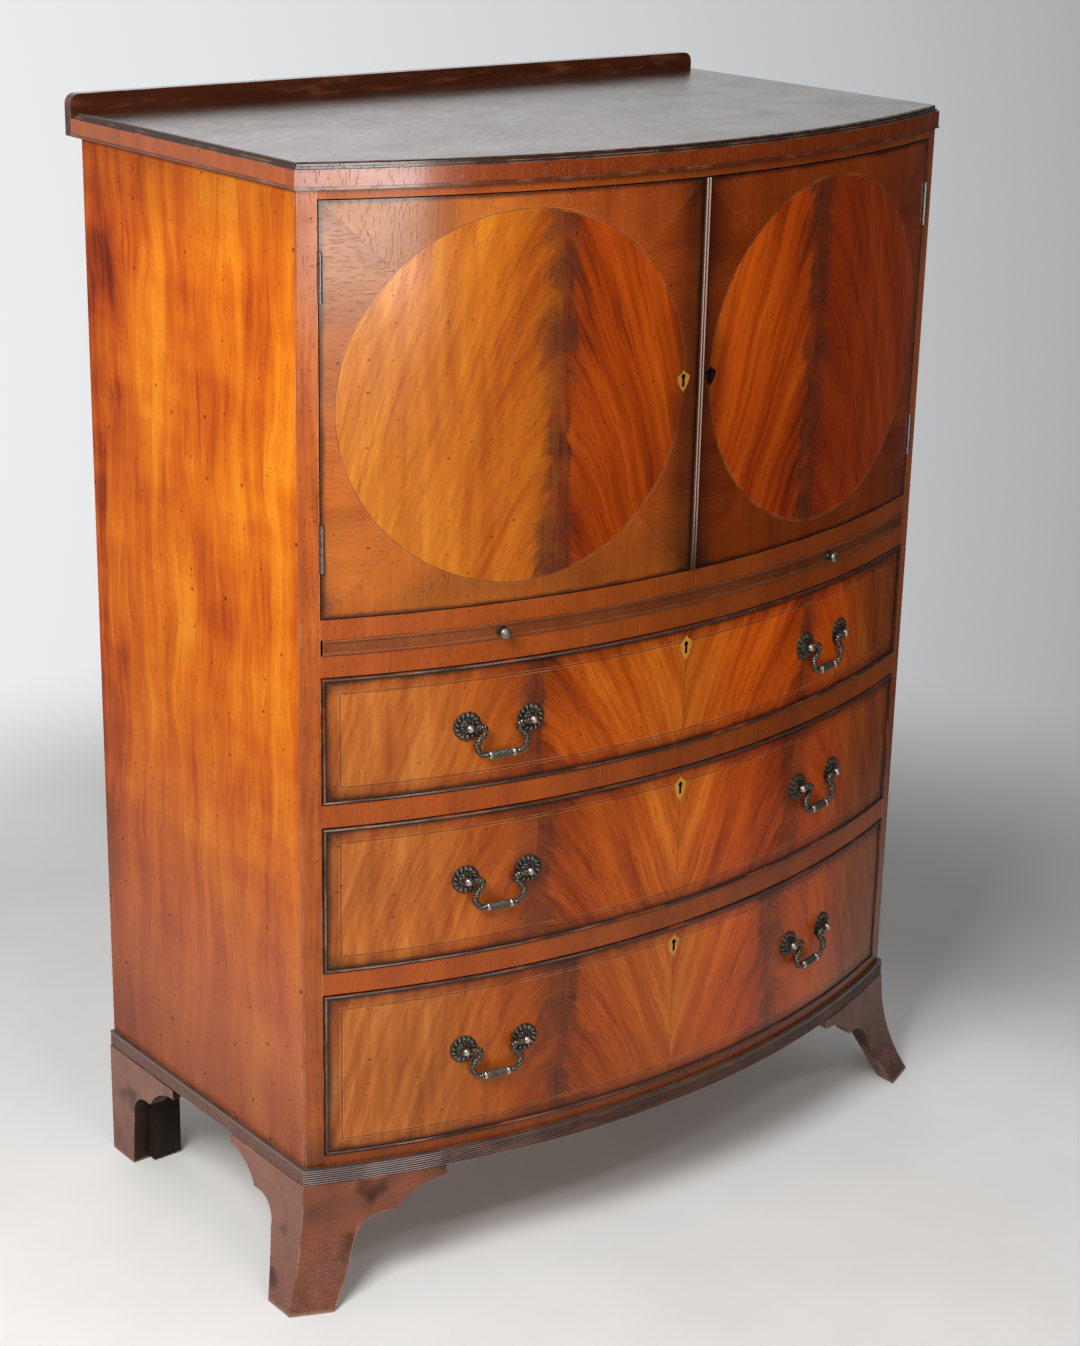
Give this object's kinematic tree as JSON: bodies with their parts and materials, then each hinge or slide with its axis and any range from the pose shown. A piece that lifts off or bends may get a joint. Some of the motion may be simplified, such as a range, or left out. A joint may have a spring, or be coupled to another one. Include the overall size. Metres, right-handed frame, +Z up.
{
  "type": "bow front cabinet of drawers",
  "caption": "Bow front mahogany cabinet with paired doors over a brushing slide and long drawers, swan neck bail handles, reeded base moulding and splayed bracket feet.",
  "frame": {"origin": "middle of the bounding box's footprint, on the floor", "axes": "+X to the viewer's right across the front, +Y from the bow front to the back, +Z up"},
  "size_m": [0.9192, 0.5116, 1.1992],
  "materials": {
    "mahogany": "worn french polish",
    "flame_mahogany": "polished flame veneer",
    "dark_mahogany": "dark polish",
    "oak": "bare, aged",
    "pine": "bare, aged",
    "boxwood": "polished inlay",
    "antique_brass": "antiqued",
    "lock_brass": "dull",
    "hinge_steel": "dull"
  },
  "bodies": {
    "carcass": {"left_side": "mahogany", "right_side": "mahogany", "front_stiles": "mahogany", "top_board": "dark_mahogany", "back_gallery": "dark_mahogany", "back_boards": "pine", "frieze_rail": "mahogany", "cupboard_floor": "mahogany", "drawer_rails": "mahogany", "dust_boards": "pine", "cupboard_shelf": "mahogany", "shelf_battens": "pine", "drawer_runners": "pine", "base_moulding": "dark_mahogany", "front_left_foot": "mahogany", "front_right_foot": "mahogany", "back_left_foot": "mahogany", "back_right_foot": "mahogany", "foot_blocks": "pine", "carcass_hinge_leaves": "hinge_steel"},
    "left_door": {"left_door": "flame_mahogany", "left_door_hinge_leaves": "hinge_steel", "left_door_escutcheon": "boxwood"},
    "right_door": {"right_door": "flame_mahogany", "right_door_hinge_leaves": "hinge_steel", "closing_bead": "dark_mahogany", "door_lock": "lock_brass"},
    "door_lock_bolt": {"door_lock_bolt": "lock_brass"},
    "brushing_slide": {"brushing_slide": "mahogany", "slide_knobs": "antique_brass"},
    "lower_drawer": {"lower_drawer_front": "flame_mahogany", "lower_drawer_cockbead": "dark_mahogany", "lower_drawer_sides": "oak", "lower_drawer_bottom": "oak", "lower_drawer_escutcheon": "boxwood", "lower_drawer_lock": "lock_brass", "lower_drawer_handle_mounts": "antique_brass"},
    "lower_drawer_lock_bolt": {"lower_drawer_lock_bolt": "lock_brass"},
    "lower_drawer_left_bail": {"lower_drawer_left_bail": "antique_brass"},
    "lower_drawer_right_bail": {"lower_drawer_right_bail": "antique_brass"},
    "middle_drawer": {"middle_drawer_front": "flame_mahogany", "middle_drawer_cockbead": "dark_mahogany", "middle_drawer_sides": "oak", "middle_drawer_bottom": "oak", "middle_drawer_escutcheon": "boxwood", "middle_drawer_lock": "lock_brass", "middle_drawer_handle_mounts": "antique_brass"},
    "middle_drawer_lock_bolt": {"middle_drawer_lock_bolt": "lock_brass"},
    "middle_drawer_left_bail": {"middle_drawer_left_bail": "antique_brass"},
    "middle_drawer_right_bail": {"middle_drawer_right_bail": "antique_brass"},
    "upper_drawer": {"upper_drawer_front": "flame_mahogany", "upper_drawer_cockbead": "dark_mahogany", "upper_drawer_sides": "oak", "upper_drawer_bottom": "oak", "upper_drawer_escutcheon": "boxwood", "upper_drawer_lock": "lock_brass", "upper_drawer_handle_mounts": "antique_brass"},
    "upper_drawer_lock_bolt": {"upper_drawer_lock_bolt": "lock_brass"},
    "upper_drawer_left_bail": {"upper_drawer_left_bail": "antique_brass"},
    "upper_drawer_right_bail": {"upper_drawer_right_bail": "antique_brass"}
  },
  "joints": [
    {"name": "left_door_hinge", "type": "hinge", "parent": "carcass", "child": "left_door", "pos_m": [-0.401, -0.17094, 0.94615], "axis": [0, 0, -1], "range_deg": [0, 160]},
    {"name": "right_door_hinge", "type": "hinge", "parent": "carcass", "child": "right_door", "pos_m": [0.401, -0.17094, 0.94615], "axis": [0, 0, 1], "range_deg": [0, 160]},
    {"name": "door_lock_bolt_slide", "type": "slide", "parent": "right_door", "child": "door_lock_bolt", "axis": [-1, 0, 0], "range_m": [0, 0.009]},
    {"name": "brushing_slide_run", "type": "slide", "parent": "carcass", "child": "brushing_slide", "axis": [0, -1, 0], "range_m": [0, 0.25]},
    {"name": "lower_drawer_run", "type": "slide", "parent": "carcass", "child": "lower_drawer", "axis": [0, -1, 0], "range_m": [0, 0.3]},
    {"name": "lower_drawer_lock_bolt_slide", "type": "slide", "parent": "lower_drawer", "child": "lower_drawer_lock_bolt", "axis": [0, 0, 1], "range_m": [0, 0.009]},
    {"name": "lower_drawer_left_bail_hinge", "type": "hinge", "parent": "lower_drawer", "child": "lower_drawer_left_bail", "pos_m": [-0.22783, -0.23388, 0.26222], "axis": [-0.9759, 0.2182, 0], "range_deg": [-4, 100]},
    {"name": "lower_drawer_right_bail_hinge", "type": "hinge", "parent": "lower_drawer", "child": "lower_drawer_right_bail", "pos_m": [0.22783, -0.23388, 0.26222], "axis": [-0.9759, -0.2182, 0], "range_deg": [-4, 100]},
    {"name": "middle_drawer_run", "type": "slide", "parent": "carcass", "child": "middle_drawer", "axis": [0, -1, 0], "range_m": [0, 0.3]},
    {"name": "middle_drawer_lock_bolt_slide", "type": "slide", "parent": "middle_drawer", "child": "middle_drawer_lock_bolt", "axis": [0, 0, 1], "range_m": [0, 0.009]},
    {"name": "middle_drawer_left_bail_hinge", "type": "hinge", "parent": "middle_drawer", "child": "middle_drawer_left_bail", "pos_m": [-0.22783, -0.23388, 0.45463], "axis": [-0.9759, 0.2182, 0], "range_deg": [-4, 100]},
    {"name": "middle_drawer_right_bail_hinge", "type": "hinge", "parent": "middle_drawer", "child": "middle_drawer_right_bail", "pos_m": [0.22783, -0.23388, 0.45463], "axis": [-0.9759, -0.2182, 0], "range_deg": [-4, 100]},
    {"name": "upper_drawer_run", "type": "slide", "parent": "carcass", "child": "upper_drawer", "axis": [0, -1, 0], "range_m": [0, 0.3]},
    {"name": "upper_drawer_lock_bolt_slide", "type": "slide", "parent": "upper_drawer", "child": "upper_drawer_lock_bolt", "axis": [0, 0, 1], "range_m": [0, 0.009]},
    {"name": "upper_drawer_left_bail_hinge", "type": "hinge", "parent": "upper_drawer", "child": "upper_drawer_left_bail", "pos_m": [-0.22783, -0.23388, 0.62049], "axis": [-0.9759, 0.2182, 0], "range_deg": [-4, 100]},
    {"name": "upper_drawer_right_bail_hinge", "type": "hinge", "parent": "upper_drawer", "child": "upper_drawer_right_bail", "pos_m": [0.22783, -0.23388, 0.62049], "axis": [-0.9759, -0.2182, 0], "range_deg": [-4, 100]}
  ]
}
